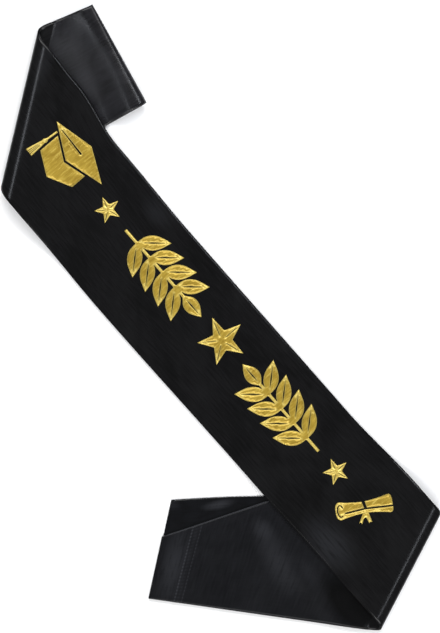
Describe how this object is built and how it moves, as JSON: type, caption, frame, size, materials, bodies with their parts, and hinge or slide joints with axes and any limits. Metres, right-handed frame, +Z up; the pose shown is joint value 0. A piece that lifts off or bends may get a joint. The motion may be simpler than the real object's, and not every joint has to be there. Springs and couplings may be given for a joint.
{
  "type": "graduation sash",
  "caption": "Black satin shoulder sash: a closed loop of ribbon pressed flat and folded under at each end, with a gold foil mortarboard, diploma scroll and laurel ornament.",
  "frame": {"origin": "middle of the lying sash's box, on the surface that it lies on", "axes": "+Z up from the surface, +Y towards the top tail, +X towards the right fold, as the sash is seen from above"},
  "size_m": [0.3516, 0.5012, 0.0127],
  "materials": {
    "satin": "black polyester satin, soft sheen",
    "gold_foil": "pale gold pressed foil, finely brushed"
  },
  "bodies": {
    "root": {"sash_ribbon": "satin", "foil_cap_board": "gold_foil", "foil_cap_crown": "gold_foil", "foil_cap_tassel": "gold_foil", "foil_scroll": "gold_foil", "foil_scroll_tie": "gold_foil", "foil_star_left": "gold_foil", "foil_star_middle": "gold_foil", "foil_star_right": "gold_foil", "foil_branch_left": "gold_foil", "foil_branch_right": "gold_foil"}
  },
  "joints": []
}
